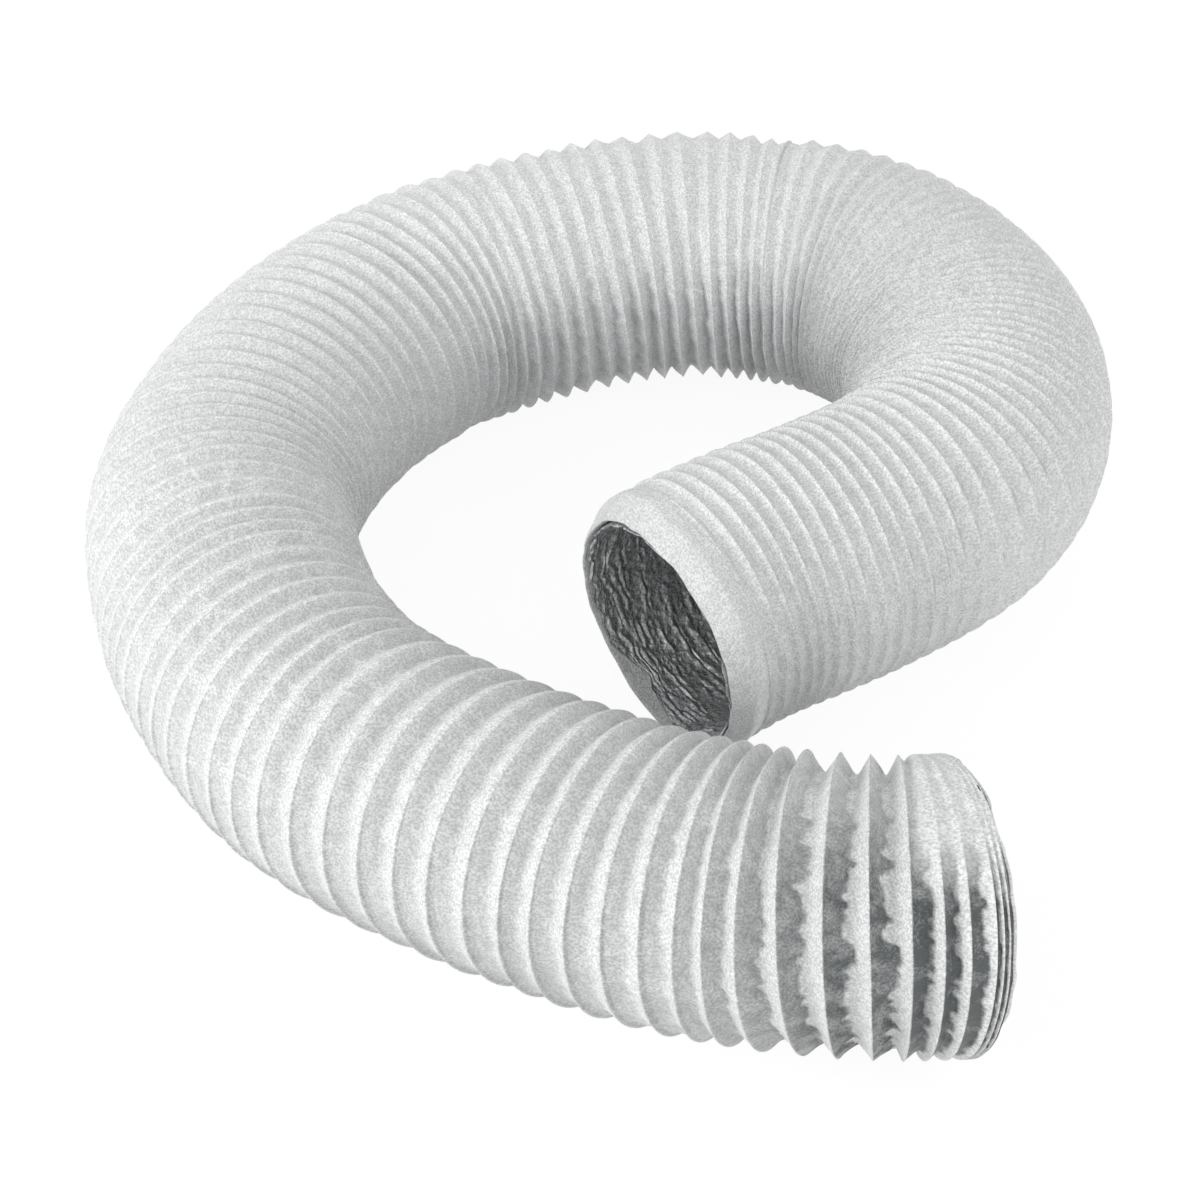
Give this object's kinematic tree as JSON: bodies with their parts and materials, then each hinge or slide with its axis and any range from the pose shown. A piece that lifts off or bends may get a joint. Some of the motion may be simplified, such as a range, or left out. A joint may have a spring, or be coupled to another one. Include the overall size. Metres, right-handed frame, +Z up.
{
  "type": "flexible air duct",
  "caption": "Flexible round air duct with a ribbed white film sheath, a spring wire in its ribs and a foil liner, open at both ends and lying in a loop.",
  "frame": {"origin": "on the floor under the top of the first rib to the right of the middle of the back run", "axes": "+Z up, +Y away from the viewer of the picture, +X to the viewer's right"},
  "size_m": [0.5055, 0.5507, 0.1315],
  "materials": {
    "sheath_film": "satin",
    "cuff_film": "satin",
    "liner_foil": "crinkled",
    "spring_wire": "drawn"
  },
  "bodies": {
    "front_end": {"sheath_front_turns": "sheath_film", "liner_front_turns": "liner_foil", "sheath_front_end": "sheath_film", "liner_front_end": "liner_foil", "sheath_front_pull": "sheath_film", "liner_front_pull": "liner_foil", "front_cuff": "cuff_film", "front_wire_end": "spring_wire"},
    "front_middle": {"sheath_front_middle": "sheath_film", "liner_front_middle": "liner_foil", "sheath_front_lift": "sheath_film", "liner_front_lift": "liner_foil"},
    "front_root": {"sheath_front_root": "sheath_film", "liner_front_root": "liner_foil", "sheath_front_bend": "sheath_film", "liner_front_bend": "liner_foil"},
    "left_run": {"sheath_left_run": "sheath_film", "liner_left_run": "liner_foil", "sheath_left_bend": "sheath_film", "liner_left_bend": "liner_foil"},
    "back_run": {"sheath_back_near_left": "sheath_film", "liner_back_near_left": "liner_foil", "sheath_back_near_right": "sheath_film", "liner_back_near_right": "liner_foil"},
    "right_run": {"sheath_right_bend": "sheath_film", "liner_right_bend": "liner_foil", "sheath_right_run_back": "sheath_film", "liner_right_run_back": "liner_foil", "sheath_right_run_side": "sheath_film", "liner_right_run_side": "liner_foil", "sheath_right_run_front": "sheath_film", "liner_right_run_front": "liner_foil"},
    "mouth_end": {"sheath_mouth_lift": "sheath_film", "liner_mouth_lift": "liner_foil", "sheath_mouth_end": "sheath_film", "liner_mouth_end": "liner_foil", "mouth_cuff": "cuff_film", "mouth_wire_end": "spring_wire"}
  },
  "joints": [
    {"name": "left_bend", "type": "hinge", "parent": "back_run", "child": "left_run", "pos_m": [-0.09577, -0.08669, 0.0655], "axis": [0, 0, -1], "range_deg": [0, 29], "deforming": ["sheath_left_bend", "liner_left_bend"]},
    {"name": "front_bend", "type": "hinge", "parent": "left_run", "child": "front_root", "pos_m": [-0.10202, -0.24663, 0.0655], "axis": [0, 0, -1], "range_deg": [-3, 28], "deforming": ["sheath_front_bend", "liner_front_bend"]},
    {"name": "front_lift", "type": "hinge", "parent": "front_root", "child": "front_middle", "pos_m": [-0.03701, -0.32092, 0.0655], "axis": [-0.515, -0.8572, 0], "range_deg": [0, 20], "deforming": ["sheath_front_lift", "liner_front_lift"]},
    {"name": "front_pull", "type": "slide", "parent": "front_middle", "child": "front_end", "axis": [0.9903, -0.1392, 0], "range_m": [-0.04, 0.05], "deforming": ["sheath_front_pull", "liner_front_pull"]},
    {"name": "right_bend", "type": "hinge", "parent": "back_run", "child": "right_run", "pos_m": [0.11697, 0.02497, 0.0655], "axis": [0, 0, 1], "range_deg": [-10, 28], "deforming": ["sheath_right_bend", "liner_right_bend"]},
    {"name": "mouth_lift", "type": "hinge", "parent": "right_run", "child": "mouth_end", "pos_m": [0.2063, -0.1591, 0.0655], "axis": [-0.5446, 0.8387, 0], "range_deg": [0, 25], "deforming": ["sheath_mouth_lift", "liner_mouth_lift"]}
  ]
}
